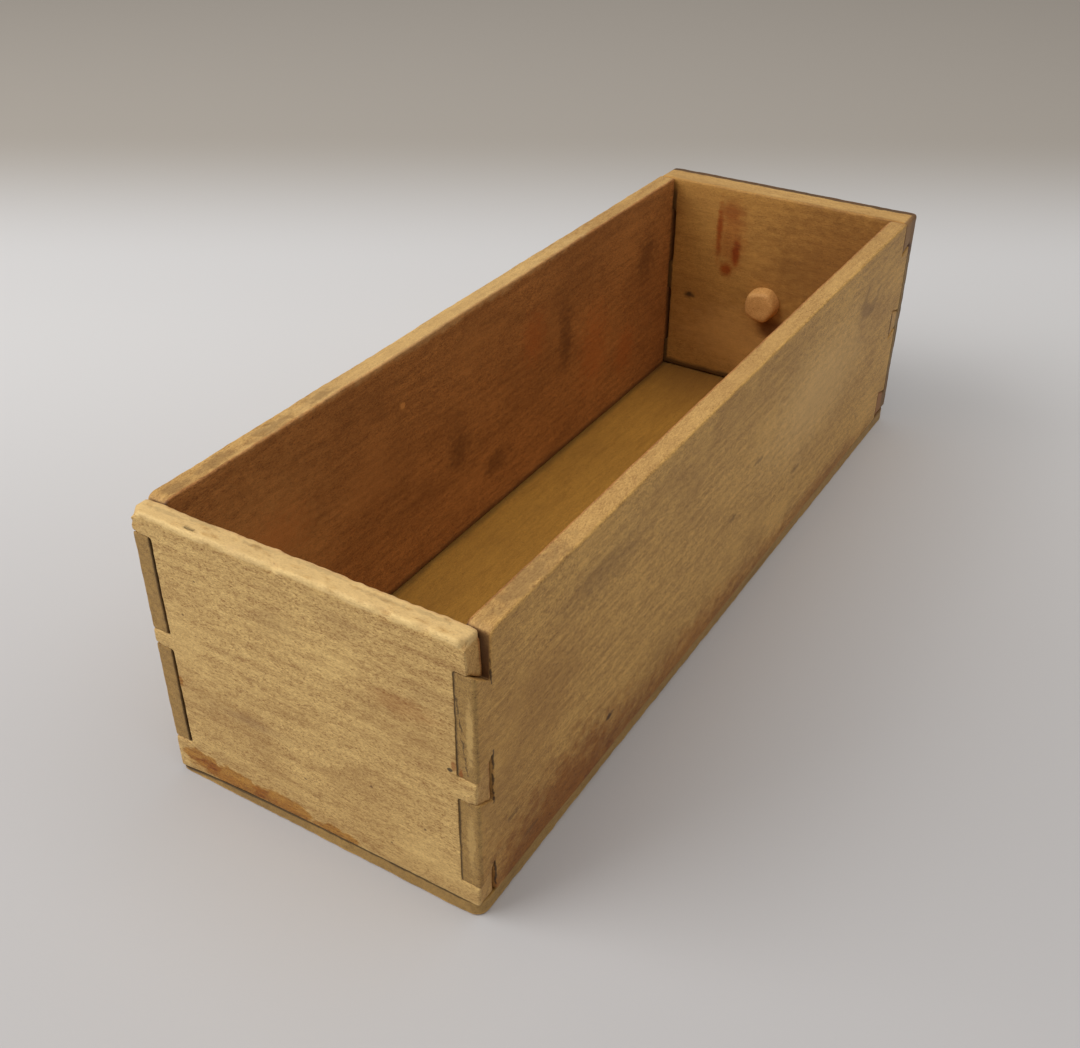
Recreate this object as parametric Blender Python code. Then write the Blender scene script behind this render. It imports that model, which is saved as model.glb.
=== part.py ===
"""Small hand-made drawer with an open top: dovetailed walls on a planted bottom board, and a turned pull knob.

Metres, +Z up. X is across the drawer, +Y runs along it towards the front with its knob, and z = 0 is the
underside. The origin is under the middle of the whole length, knob included.
"""

import math
from collections import namedtuple

import bmesh
import bpy

# Driving dimensions
WIDTH = 0.102  # over the two sides
LENGTH = 0.300  # over the back and the front, without the knob
HEIGHT = 0.088  # from the underside to the top edge
SIDE_THICK = 0.0066
BACK_THICK = 0.0060
FRONT_THICK = 0.0123
BOTTOM_THICK = 0.0055
EDGE_ROUND = 0.0006  # worn edges of every board
FIT_GAP = 0.0003  # between pieces that touch

BACK_Y = -0.161
FRONT_Y = BACK_Y + LENGTH
WALL_BASE = BOTTOM_THICK + FIT_GAP

# Dovetails. A corner has a half pin at its foot, one pin, and a half pin at its top, all on the back or front
# board. Heights are where the pins meet the end of the side; each pin widens by the flare towards the shoulder.
Corner = namedtuple("Corner", "foot_pin_top pin_low pin_high top_pin_low")
BACK_LEFT = Corner(0.0124, 0.0458, 0.0502, 0.0814)
BACK_RIGHT = Corner(0.0115, 0.0405, 0.0466, 0.0793)
FRONT_CORNER = Corner(0.0150, 0.0430, 0.0505, 0.0770)
BACK_FLARE = 0.0046
FRONT_FLARE = 0.0022
FRONT_LAP = 0.0045  # wood left over the front's blind sockets
OVERCUT = 0.002  # how far a cutter runs past the face that it opens

# Turned knob, with its tenon through the front
KNOB_X = -0.0015
KNOB_Z = 0.0438
TENON_RADIUS = 0.0069
TENON_PROUD = 0.0060  # stands out of the front's inner face
TENON_CHAMFER = 0.0010
COLLAR_RADIUS = 0.0098
COLLAR_LENGTH = 0.0016
NECK_RADIUS = 0.0062
NECK_LENGTH = 0.0056
BULB_RADIUS = 0.0125
KNOB_REACH = 0.022
KNOB_SEGMENTS = 40

# Brads driven up through the bottom board into the walls
BRAD_RADIUS = 0.0007
BRAD_LENGTH = 0.0175
BRAD_HEAD_RADIUS = 0.0013
BRAD_HEAD_THICK = 0.0006
BRAD_SINK = 0.0002  # head's face above the underside
BRAD_POINT = 0.0015
BRAD_SEGMENTS = 12
SIDE_BRADS = 4
END_BRADS = 2
SIDE_BRAD_MARGIN = 0.034
END_BRAD_MARGIN = 0.026

WOODS = {
    "side_wood": (0.50, 0.36, 0.20),
    "end_wood": (0.56, 0.42, 0.24),
    "bottom_wood": (0.54, 0.39, 0.18),
    "knob_wood": (0.40, 0.23, 0.11),
}


def clear_scene():
    for old in list(bpy.data.objects):
        bpy.data.objects.remove(old, do_unlink=True)


def principled(name, colour, roughness, metallic=0.0):
    material = bpy.data.materials.new(name)
    material.use_nodes = True
    shader = material.node_tree.nodes["Principled BSDF"]
    shader.inputs["Base Color"].default_value = (*colour, 1.0)
    shader.inputs["Roughness"].default_value = roughness
    shader.inputs["Metallic"].default_value = metallic
    return material


def add_object(name, mesh, material=None):
    piece = bpy.data.objects.new(name, mesh)
    bpy.context.scene.collection.objects.link(piece)
    if material:
        mesh.materials.append(material)
    return piece


def slab(name, low, high, material):
    """A board from its low corner to its high corner, with its edges eased."""
    mesh = bpy.data.meshes.new(name)
    work = bmesh.new()
    bmesh.ops.create_cube(work, size=1.0)
    size = [b - a for a, b in zip(low, high)]
    bmesh.ops.scale(work, vec=size, verts=work.verts)
    work.to_mesh(mesh)
    work.free()
    board = add_object(name, mesh, material)
    board.location = [(a + b) / 2 for a, b in zip(low, high)]
    ease = board.modifiers.new("eased_edges", "BEVEL")
    ease.width = EDGE_ROUND
    ease.segments = 2
    return board


def prism(name, outline, x_low, x_high):
    """A cutter: an outline of (y, z) points, extruded along X."""
    mesh = bpy.data.meshes.new(name)
    work = bmesh.new()
    face = work.faces.new([work.verts.new((x_low, y, z)) for y, z in outline])
    pushed = bmesh.ops.extrude_face_region(work, geom=[face])
    moved = [v for v in pushed["geom"] if isinstance(v, bmesh.types.BMVert)]
    bmesh.ops.translate(work, vec=(x_high - x_low, 0, 0), verts=moved)
    bmesh.ops.recalc_face_normals(work, faces=work.faces)
    work.to_mesh(mesh)
    work.free()
    return as_cutter(add_object(name, mesh))


def turned(name, profile, segments, material=None):
    """A lathe shape about its own Z. The profile is (radius, height) points from the foot of the axis to its top."""
    mesh = bpy.data.meshes.new(name)
    work = bmesh.new()
    rings = []
    for radius, height in profile:
        if radius == 0:
            rings.append([work.verts.new((0, 0, height))])
            continue
        turn = [2 * math.pi * i / segments for i in range(segments)]
        rings.append([work.verts.new((radius * math.cos(a), radius * math.sin(a), height)) for a in turn])
    for lower, upper in zip(rings, rings[1:]):
        for i in range(segments):
            j = (i + 1) % segments
            corners = [lower[i % len(lower)], lower[j % len(lower)], upper[j % len(upper)], upper[i % len(upper)]]
            work.faces.new(list(dict.fromkeys(corners)))
    bmesh.ops.recalc_face_normals(work, faces=work.faces)
    work.to_mesh(mesh)
    work.free()
    mesh.shade_smooth()
    mesh.set_sharp_from_angle(angle=math.radians(35))
    return add_object(name, mesh, material)


def as_cutter(piece):
    piece.hide_render = True
    piece.display_type = "WIRE"
    return piece


def cut(piece, cutters):
    for cutter in cutters:
        step = piece.modifiers.new("cut_" + cutter.name, "BOOLEAN")
        step.operation = "DIFFERENCE"
        step.object = cutter


def flared(low, high, y_end, y_shoulder, flare):
    """A tail or pin seen from the side: it spans low to high at the end, and flare more each way at the shoulder."""
    return [(y_end, low), (y_end, high), (y_shoulder, high + flare), (y_shoulder, low - flare)]


def side_span(side, inner_gap, outer_past):
    """The X range of a side board (side is -1 or 1), with room added at its inner and outer face."""
    inner = side * (WIDTH / 2 - SIDE_THICK - inner_gap)
    outer = side * (WIDTH / 2 + outer_past)
    return sorted((inner, outer))


def pin_room(label, corner, side, y_end, y_shoulder, flare):
    """Cutters that leave a side board's tails standing: the room of the corner's three pins."""
    outward = math.copysign(OVERCUT, y_end - y_shoulder)
    slope = flare / (y_shoulder - y_end)
    spans = (
        (WALL_BASE - OVERCUT, corner.foot_pin_top),
        (corner.pin_low, corner.pin_high),
        (corner.top_pin_low, HEIGHT + OVERCUT),
    )
    x_low, x_high = side_span(side, OVERCUT, OVERCUT)
    cutters = []
    for i, (low, high) in enumerate(spans, 1):
        trim = abs(slope) * OVERCUT
        outline = flared(low + trim, high - trim, y_end + outward, y_shoulder, flare + trim)
        cutters.append(prism(f"{label}_pin_room_{i}", outline, x_low, x_high))
    return cutters


def tail_sockets(label, corner, side, y_end, y_shoulder, flare, end_past):
    """Cutters for the sockets that a side's two tails fill in the back or front board."""
    outward = math.copysign(1.0, y_end - y_shoulder)
    spans = ((corner.foot_pin_top, corner.pin_low), (corner.pin_high, corner.top_pin_low))
    slope = flare / abs(y_shoulder - y_end)
    x_low, x_high = side_span(side, FIT_GAP, OVERCUT)
    cutters = []
    for i, (low, high) in enumerate(spans, 1):
        low_end = low - FIT_GAP - slope * end_past
        high_end = high + FIT_GAP + slope * end_past
        narrowing = -(flare + slope * (end_past + OVERCUT))
        outline = flared(low_end, high_end, y_end + outward * end_past, y_shoulder - outward * OVERCUT, narrowing)
        cutters.append(prism(f"{label}_socket_{i}", outline, x_low, x_high))
    return cutters


def brad_places():
    """(name, x, y) of every brad in the bottom board."""
    side_x = (WIDTH - SIDE_THICK) / 2
    first_y, last_y = BACK_Y + SIDE_BRAD_MARGIN, FRONT_Y - SIDE_BRAD_MARGIN
    end_x = WIDTH / 2 - END_BRAD_MARGIN
    for label, side in (("left", -1), ("right", 1)):
        for i in range(SIDE_BRADS):
            yield f"brad_{label}_{i + 1}", side * side_x, first_y + (last_y - first_y) * i / (SIDE_BRADS - 1)
    for label, y in (("back", BACK_Y + BACK_THICK / 2), ("front", FRONT_Y - FRONT_THICK / 2)):
        for i in range(END_BRADS):
            yield f"brad_{label}_{i + 1}", end_x * (2 * i / (END_BRADS - 1) - 1), y


def brad_profile(room):
    """The brad's turned outline from head to point, or with room the hole that it sits in."""
    head, shank = BRAD_HEAD_RADIUS + room, BRAD_RADIUS + room
    head_low = BRAD_SINK if room == 0 else -OVERCUT
    head_top = BRAD_SINK + BRAD_HEAD_THICK + room
    tip = BRAD_SINK + BRAD_LENGTH + room
    return [(0, head_low), (head, head_low), (head, head_top), (shank, head_top), (shank, tip - BRAD_POINT), (0, tip)]


def knob_profile():
    """Radius along the knob's axis, measured outwards from the front's outer face."""
    tip = -(FRONT_THICK + TENON_PROUD)
    points = [(0, tip), (TENON_RADIUS - TENON_CHAMFER, tip), (TENON_RADIUS, tip + TENON_CHAMFER)]
    points += [(TENON_RADIUS, FIT_GAP), (COLLAR_RADIUS, FIT_GAP), (COLLAR_RADIUS, COLLAR_LENGTH)]
    cove_steps, dome_steps = 6, 14
    for i in range(1, cove_steps + 1):
        share = i / cove_steps
        sweep = math.sin(share * math.pi / 2)
        points.append((COLLAR_RADIUS + (NECK_RADIUS - COLLAR_RADIUS) * sweep, COLLAR_LENGTH + NECK_LENGTH * share / 2))
    bulb_start = COLLAR_LENGTH + NECK_LENGTH
    half_length = (KNOB_REACH - bulb_start) / 2
    start_angle = math.acos(NECK_RADIUS / BULB_RADIUS)
    for i in range(dome_steps):
        angle = -start_angle + (start_angle + math.pi / 2) * i / dome_steps
        depth = math.sin(angle) / math.sin(start_angle) if angle < 0 else math.sin(angle)
        points.append((BULB_RADIUS * math.cos(angle), bulb_start + half_length * (1 + depth)))
    points.append((0, KNOB_REACH))
    return points


def build_walls(woods):
    inner_back, inner_front = BACK_Y + BACK_THICK, FRONT_Y - FRONT_THICK
    blind_end = FRONT_Y - FRONT_LAP - FIT_GAP
    half = WIDTH / 2
    back = slab("back_board", (-half, BACK_Y, WALL_BASE), (half, inner_back, HEIGHT), woods["end_wood"])
    front = slab("front_board", (-half, inner_front, WALL_BASE), (half, FRONT_Y, HEIGHT), woods["end_wood"])
    walls = [back, front]
    for name, side, back_corner in (("left", -1, BACK_LEFT), ("right", 1, BACK_RIGHT)):
        x_low, x_high = side_span(side, 0, 0)
        board = slab(name + "_side", (x_low, BACK_Y, WALL_BASE), (x_high, blind_end, HEIGHT), woods["side_wood"])
        ends = (
            (back, name + "_back", back_corner, BACK_Y, inner_back + FIT_GAP, BACK_FLARE, OVERCUT),
            (front, name + "_front", FRONT_CORNER, blind_end, inner_front - FIT_GAP, FRONT_FLARE, FIT_GAP),
        )
        for wall, label, corner, y_end, y_shoulder, flare, end_past in ends:
            cut(board, pin_room(label, corner, side, y_end, y_shoulder, flare))
            cut(wall, tail_sockets(label, corner, side, y_end, y_shoulder, flare, end_past))
        walls.append(board)
    return walls


def build_knob(front, material):
    """The knob's axis lies along Y, with its tenon through a round hole in the front."""
    knob = turned("pull_knob", knob_profile(), KNOB_SEGMENTS, material)
    reach = FRONT_THICK + OVERCUT
    hole = TENON_RADIUS + FIT_GAP
    bore = as_cutter(turned("knob_bore", [(0, -reach), (hole, -reach), (hole, OVERCUT), (0, OVERCUT)], KNOB_SEGMENTS))
    for piece in (knob, bore):
        piece.location = (KNOB_X, FRONT_Y, KNOB_Z)
        piece.rotation_euler = (-math.pi / 2, 0, 0)
    cut(front, [bore])


def build_brads(boards, material):
    """One brad at each place, with a hole for it through every board that it crosses."""
    brad_mesh = turned("brad", brad_profile(0), BRAD_SEGMENTS, material)
    hole_mesh = turned("brad_hole", brad_profile(FIT_GAP), BRAD_SEGMENTS)
    for name, x, y in brad_places():
        brad = add_object(name, brad_mesh.data)
        hole = as_cutter(add_object(name + "_hole", hole_mesh.data))
        brad.location = hole.location = (x, y, 0)
        crossed = {"left": "left_side", "right": "right_side", "back": "back_board", "front": "front_board"}
        cut(boards["bottom_board"], [hole])
        cut(boards[crossed[name.split("_")[1]]], [hole])
    bpy.data.objects.remove(brad_mesh)
    bpy.data.objects.remove(hole_mesh)


def main():
    clear_scene()
    woods = {name: principled(name, colour, 0.62) for name, colour in WOODS.items()}
    iron = principled("brad_iron", (0.16, 0.14, 0.13), 0.55, metallic=1.0)
    half = WIDTH / 2
    bottom = slab("bottom_board", (-half, BACK_Y, 0), (half, FRONT_Y, BOTTOM_THICK), woods["bottom_wood"])
    boards = {board.name: board for board in [bottom, *build_walls(woods)]}
    build_knob(boards["front_board"], woods["knob_wood"])
    build_brads(boards, iron)


main()
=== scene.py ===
"""Looks of the small dovetailed drawer: worn, hand-cut boards in aged beech, a turned knob and iron brads.

Every board is rebuilt as a dense mesh round its CAD node, with rubbed edges, gaps and chips, and is shown in
its place. Lengths in the mesh code are millimetres of the row frame, and become metres in mesh_object().
"""

import math

import bpy
import numpy as np
from mathutils import Matrix, Vector, geometry, noise


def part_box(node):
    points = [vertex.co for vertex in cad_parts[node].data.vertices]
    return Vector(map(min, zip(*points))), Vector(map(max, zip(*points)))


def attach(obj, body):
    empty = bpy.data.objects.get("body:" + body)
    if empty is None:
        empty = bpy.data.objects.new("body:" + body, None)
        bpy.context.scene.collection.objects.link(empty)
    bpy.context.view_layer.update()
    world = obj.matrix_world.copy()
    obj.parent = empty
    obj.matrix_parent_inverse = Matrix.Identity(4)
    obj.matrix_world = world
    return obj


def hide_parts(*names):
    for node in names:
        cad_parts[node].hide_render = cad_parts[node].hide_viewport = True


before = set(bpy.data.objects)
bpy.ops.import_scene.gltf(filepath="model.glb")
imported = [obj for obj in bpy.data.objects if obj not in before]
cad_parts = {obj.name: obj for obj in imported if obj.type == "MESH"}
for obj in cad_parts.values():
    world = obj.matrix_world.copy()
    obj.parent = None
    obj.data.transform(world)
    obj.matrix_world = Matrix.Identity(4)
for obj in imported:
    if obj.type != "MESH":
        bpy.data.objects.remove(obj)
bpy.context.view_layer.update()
MM = 0.001


def node_box(name):
    """A CAD node's low and high corner, in millimetres."""
    low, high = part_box(name)
    return np.array(low) / MM, np.array(high) / MM


LEFT_HIGH = node_box("left_side")[1]
RIGHT_LOW, RIGHT_HIGH = node_box("right_side")
BACK_LOW, BACK_HIGH = node_box("back_board")
FRONT_LOW, FRONT_HIGH = node_box("front_board")
BOTTOM_LOW, BOTTOM_HIGH = node_box("bottom_board")
KNOB_LOW, KNOB_HIGH = node_box("pull_knob")

# ---- mesh code


def clamp(value):
    return min(1.0, max(0.0, value))


def rough(point, size, seed=0.0):
    """Smooth noise from -1 to 1 whose bumps are about size millimetres across."""
    return noise.noise(Vector(point) / size + Vector((seed, seed * 0.37, -seed * 0.71)))


def resample(corners, counts):
    """The closed outline through corners, with counts[i] steps along its i-th side."""
    points = []
    for i, (start, steps) in enumerate(zip(corners, counts)):
        end = corners[(i + 1) % len(corners)]
        points += [start + (end - start) * (k / steps) for k in range(steps)]
    return np.array(points)


def side_counts(corners, spacing):
    lengths = [np.linalg.norm(corners[(i + 1) % len(corners)] - corners[i]) for i in range(len(corners))]
    return [max(2, round(length / spacing)) for length in lengths]


def relax(points, rounds):
    """Rounds the corners of a dense closed outline."""
    for _ in range(rounds):
        middle = (np.roll(points, 1, axis=0) + np.roll(points, -1, axis=0)) / 2
        points = points + 0.5 * (middle - points)
    return points


def outward(points):
    """Unit normals of a closed outline that runs anticlockwise."""
    along = np.roll(points, -1, axis=0) - np.roll(points, 1, axis=0)
    normals = np.stack([along[:, 1], -along[:, 0]], axis=1)
    return normals / np.maximum(np.linalg.norm(normals, axis=1, keepdims=True), 1e-9)


def inset(points, amount, spacing):
    """The outline moved inwards by amount, in small steps that spread its points again where they crowd."""
    steps = max(1, math.ceil(float(np.max(amount)) / 0.1))
    for _ in range(steps):
        points = points - outward(points) * np.asarray(amount)[..., None] / steps
        before, after = np.roll(points, 1, axis=0), np.roll(points, -1, axis=0)
        gap = np.minimum(np.linalg.norm(points - before, axis=1), np.linalg.norm(points - after, axis=1))
        crowded = np.clip(1.3 - gap / (0.5 * spacing), 0, 0.8)
        points = points + crowded[:, None] * ((before + after) / 2 - points)
    return points


def distance_to(outline, points):
    """Distance of each point to a closed outline."""
    best = np.full(len(points), 1e9)
    ends = np.roll(outline, -1, axis=0)
    for a, b in zip(outline, ends):
        d = b - a
        share = np.clip(((points - a) @ d) / max(d @ d, 1e-12), 0, 1)
        best = np.minimum(best, np.linalg.norm(points - a - share[:, None] * d, axis=1))
    return best


def inside(outline, points):
    """True where a point lies inside a closed outline."""
    found = np.zeros(len(points), bool)
    ends = np.roll(outline, -1, axis=0)
    for a, b in zip(outline, ends):
        crosses = (a[1] > points[:, 1]) != (b[1] > points[:, 1])
        if a[1] != b[1]:
            at = (b[0] - a[0]) * (points[:, 1] - a[1]) / (b[1] - a[1]) + a[0]
            found ^= crosses & (points[:, 0] < at)
    return found


def fill_points(outline, fine, coarse, seed):
    """Points inside an outline: a fine grid near it and a coarse one in the middle."""
    low, high = outline.min(0), outline.max(0)
    random = np.random.default_rng(seed)
    chosen = []
    border, middle = (fine, 0.75 * fine, 3.2 * fine), (coarse, 3.2 * fine + 0.4 * coarse, math.inf)
    for spacing, nearest, farthest in (border, middle):
        u, v = np.meshgrid(np.arange(low[0], high[0], spacing), np.arange(low[1], high[1], spacing))
        grid = np.stack([u.ravel(), v.ravel()], axis=1)
        grid += random.uniform(-0.22, 0.22, grid.shape) * spacing
        grid = grid[inside(outline, grid)]
        reach = distance_to(outline, grid)
        chosen.append(grid[(reach > nearest) & (reach < farthest)])
    return np.concatenate(chosen)


def face_triangles(rim, fine, coarse, seed):
    """Fills an outline. Returns its inner points, and triangles that number the rim's points first."""
    inner = fill_points(rim, fine, coarse, seed)
    every = [Vector(p) for p in np.concatenate([rim, inner])]
    edges = [(i, (i + 1) % len(rim)) for i in range(len(rim))]
    points, _, faces, origins, _, _ = geometry.delaunay_2d_cdt(every, edges, [], 1, 1e-6)
    if len(points) != len(every):
        crossings = [tuple(p) for p, origin in zip(points, origins) if not origin]
        raise ValueError(f"the outline crosses itself near {crossings}")
    number = [origin[0] for origin in origins]
    return inner, [[number[i] for i in face] for face in faces]


class Board:
    """A worn plate. corners_at() gives its (u, v) corners at a share of the way in from its outer face, and
    place() turns u, v and depth into x, y, z. Points stand spacing apart on its rim and fine to coarse apart
    inside it. jitter is how far its rim strays."""

    def __init__(self, name, corners_at, thickness, place, spacing, fine, coarse, jitter, seed):
        self.name = name
        self.corners_at = corners_at
        self.thickness = thickness
        self.place = place
        self.spacing = spacing
        self.fine = fine
        self.coarse = coarse
        self.jitter = jitter
        self.seed = seed
        self.edge_radius = lambda u, v, outer: 0.5
        self.corner_rounds = 2
        self.levels = None

    def outline(self, share):
        corners = self.corners_at(share)
        counts = side_counts(self.corners_at(1.0), self.spacing)
        points = relax(resample(corners, counts), self.corner_rounds)
        places = [(*p, share * 3) for p in points]
        shift = [rough(place, 4.0, self.seed) + 0.7 * rough(place, 1.6, self.seed + 5) for place in places]
        return points + outward(points) * self.jitter * np.array(shift)[:, None]

    def rings(self):
        """The rim from the outer face to the inner one: outlines with the depth of each of their points."""
        bends, turns = 4, []
        base = self.outline(0.0)
        for outer in (True, False):
            radius = np.array([self.edge_radius(u, v, outer) for u, v in base])
            radius = np.minimum(radius, self.thickness * 0.45)
            for k in range(bends + 1):
                angle = (k if outer else bends - k) / bends * math.pi / 2
                amount, depth = radius * (1 - math.sin(angle)), radius * (1 - math.cos(angle))
                turns.append((amount, depth if outer else self.thickness - depth))
        levels = self.levels or np.linspace(0, self.thickness, max(2, round(self.thickness / 1.2)) + 1)[1:-1]
        room = float(radius.max())
        levels = [level for level in levels if room < level < self.thickness - room]
        between = [(0 * radius, 0 * radius + level) for level in levels]
        turns = turns[: bends + 1] + between + turns[bends + 1 :]
        rings = []
        for amount, depth in turns:
            points = self.outline(float(np.mean(depth)) / self.thickness)
            rings.append((inset(points, amount, self.spacing), depth))
        return rings

    def build(self, shape):
        """Makes the mesh. shape moves the finished points, and takes and returns an array of x, y, z."""
        rings = self.rings()
        count = len(rings[0][0])
        flat, faces, reach = [], [], []
        for points, depth in rings:
            flat.append(np.column_stack([points, depth]))
            reach.append(np.zeros(count))
        total = count * len(rings)
        for number in range(len(rings) - 1):
            for i in range(count):
                j = (i + 1) % count
                a, b = number * count, (number + 1) * count
                faces.append((a + i, a + j, b + j, b + i))
        for number, flip in ((0, True), (len(rings) - 1, False)):
            rim = rings[number][0]
            inner, triangles = face_triangles(rim, self.fine, self.coarse, self.seed + number)
            depth = 0.0 if number == 0 else self.thickness
            flat.append(np.column_stack([inner, np.full(len(inner), depth)]))
            reach.append(distance_to(rim, inner))
            for triangle in triangles:
                placed = [number * count + i if i < count else total + i - count for i in triangle]
                faces.append(placed[::-1] if flip else placed)
            total += len(inner)
        world = np.array([self.place(*p) for p in np.concatenate(flat)])
        obj = mesh_object(self.name, shape(world), faces)
        store(obj, "edge_mm", np.concatenate(reach))
        return obj


def mesh_object(name, points, faces, sharp=None):
    mesh = bpy.data.meshes.new(name)
    mesh.from_pydata((np.asarray(points) * MM).tolist(), [], [list(map(int, f)) for f in faces])
    mesh.update()
    mesh.calc_loop_triangles()
    volume = 0.0
    for triangle in mesh.loop_triangles:
        a, b, c = (mesh.vertices[i].co for i in triangle.vertices)
        volume += a.dot(b.cross(c))
    if volume < 0:
        mesh.flip_normals()
    mesh.shade_smooth()
    if sharp:
        mesh.set_sharp_from_angle(angle=math.radians(sharp))
    obj = bpy.data.objects.new(name, mesh)
    bpy.context.scene.collection.objects.link(obj)
    return obj


def store(obj, name, values):
    attribute = obj.data.attributes.new(name, "FLOAT", "POINT")
    attribute.data.foreach_set("value", np.asarray(values, np.float32))


# ---- boards

SIDE = RIGHT_HIGH[0] - RIGHT_LOW[0]
BACK = BACK_HIGH[1] - BACK_LOW[1]
FRONT = FRONT_HIGH[1] - FRONT_LOW[1]
HALF = RIGHT_HIGH[0]
TOP = BACK_HIGH[2]
FOOT = BACK_LOW[2]
Y_BACK, Y_FRONT = BACK_LOW[1], FRONT_HIGH[1]
Y_BACK_IN, Y_FRONT_IN = BACK_HIGH[1], FRONT_LOW[1]
LAP = Y_FRONT - RIGHT_HIGH[1]


class Joint:
    """One corner: its pins' heights at the side's end, how far each widens, and the gap behind a tail."""

    def __init__(self, foot, pin, top, flares, socket):
        self.foot, self.pin, self.top = foot, pin, top
        self.flares = flares
        self.socket = socket

    def heights(self, share):
        """Foot pin's top, the pin's low and high edge, and the top pin's low edge. share is 0 at the end."""
        foot, low, high, top = (flare * share for flare in self.flares)
        return self.foot + foot, self.pin[0] - low, self.pin[1] + high, self.top - top


BACK_LEFT = Joint(12.3, (45.8, 50.2), 81.4, (4.4, 3.5, 3.5, 4.6), 0.95)
BACK_RIGHT = Joint(11.5, (40.5, 46.6), 79.3, (5.4, 3.1, 5.8, 5.0), 0.45)
FRONT_LEFT = Joint(15.0, (43.0, 50.5), 77.0, (2.2, 2.2, 2.2, 2.2), 0.9)
FRONT_RIGHT = Joint(15.0, (43.0, 50.5), 77.0, (2.2, 2.2, 2.2, 2.2), 0.4)


def pins_upwards(joint, share, end, wall, clear):
    """The (x, z) corners of one end of a back or front board, foot first. wall is where its sockets stop."""
    foot, low, high, top = joint.heights(share)
    return [
        (end, foot - clear), (wall, foot - clear),
        (wall, low + clear), (end, low + clear),
        (end, high - clear), (wall, high - clear),
        (wall, top + clear), (end, top + clear),
    ]


def tails_upwards(joint, end, shoulder, clear):
    """The (y, z) corners of one end of a side board, foot first."""
    foot, low, high, top = joint.heights(0)
    foot_in, low_in, high_in, top_in = joint.heights(1)
    return [
        (shoulder, foot_in + clear), (end, foot + clear),
        (end, low - clear), (shoulder, low_in - clear),
        (shoulder, high_in + clear), (end, high + clear),
        (end, top - clear), (shoulder, top_in - clear),
    ]


def mirrored(points):
    return [(-u, v) for u, v in points[::-1]]


def corners(*groups):
    return np.array([p for group in groups for p in group], float)


def chip(points, centre, size, push):
    """Sinks the points near centre by push, fading over size, with a rough edge."""
    centre, push = np.array(centre, float), np.array(push, float)
    reach = np.linalg.norm((points - centre) / np.array(size, float), axis=1)
    near = np.nonzero(reach < 1.5)[0]
    for i in near:
        bite = 1.0 - reach[i] + 0.35 * rough(points[i], 1.3, 3.0)
        points[i] += push * clamp(bite * 1.6)
    return points


def weathered(points, seed, swell=0.16):
    """A slow unevenness left by hand planing."""
    for i, p in enumerate(points):
        wave = [
            swell * rough(p, 26.0, seed + 11 * axis) + 0.05 * rough(p, 5.0, seed + 7 * axis)
            for axis in range(3)
        ]
        points[i] = p + wave
    return points


LIP_HIGH, LIP_DROP, LIP_REACH = 5.1, 3.9, 30.0  # seam height, its fall at the left corner, the fall's reach


def lip(x):
    """Height of the seam between the back board and the bottom, worn down towards the left corner."""
    return LIP_HIGH - LIP_DROP * math.exp(-(x + HALF) / LIP_REACH)


# Nicks in the back board's top edge: place along it, half width and depth
NICKS = ((-17.5, 3.0, 0.5), (-5.0, 2.2, 0.6), (8.5, 2.5, 0.4), (27.0, 3.5, 0.6), (38.0, 2.5, 0.5))


def build_back():
    def corners_at(share):
        return corners(
            [(-HALF + 0.5, FOOT + 0.2), (HALF - 0.7, FOOT + 0.2)],
            pins_upwards(BACK_RIGHT, share, HALF - 0.5, HALF - SIDE + 0.7, 0.15)[:7],
            [(HALF - 2.2, BACK_RIGHT.heights(share)[3] + 0.15), (HALF - 2.6, TOP), (-HALF + 0.7, TOP - 0.3)],
            mirrored(pins_upwards(BACK_LEFT, share, HALF - 0.4, HALF - SIDE - 0.2, 0.15)),
        )

    board = Board("back_board_worn", corners_at, BACK, lambda u, v, w: (u, Y_BACK + w, v),
                  spacing=0.7, fine=1.1, coarse=2.4, jitter=0.13, seed=21)
    board.corner_rounds = 1

    def radius(u, v, outer):
        if v > TOP - 1.5:
            worn = 0.9 if outer else 0.45
            return worn + 0.35 * rough((u, 0, 0), 9.0, 4.0) + 0.2 * rough((u, 0, 0), 2.4, 8.0)
        if v < FOOT + 1:
            return 0.4
        return 0.12 if abs(u) < HALF - 2 else 0.55

    board.edge_radius = radius

    def shape(points):
        points = weathered(points, 2.0)
        for x, width, deep in NICKS:
            points = chip(points, (x, Y_BACK, TOP - 0.3), (width, 1.6, 1.6), (0, 0.8 * deep, -deep))
        for i, (x, y, z) in enumerate(points):
            low = clamp((FOOT + 5.0 - z) / 4.0)
            high = clamp((z - TOP + 1.6) / 1.2)
            torn = 0.16 * rough((x / 2.5, y, 0), 0.8, 14.0) + 0.14 * rough((x / 3, y, z), 2.2, 15.0)
            points[i] += (0.0, high * torn * 0.6, high * torn - low * (FOOT - lip(x)))
        points = chip(points, (-HALF, Y_BACK, TOP), (3.4, 3.0, 3.2), (0.9, 0.6, -0.8))
        points = chip(points, (HALF - 2.3, Y_BACK, TOP), (2.6, 2.6, 2.4), (-0.7, 0.7, -0.8))
        return chip(points, (-HALF + 2, Y_BACK, TOP - 4), (2.0, 1.5, 2.0), (0.1, 0.5, 0))

    return board.build(shape)


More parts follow.
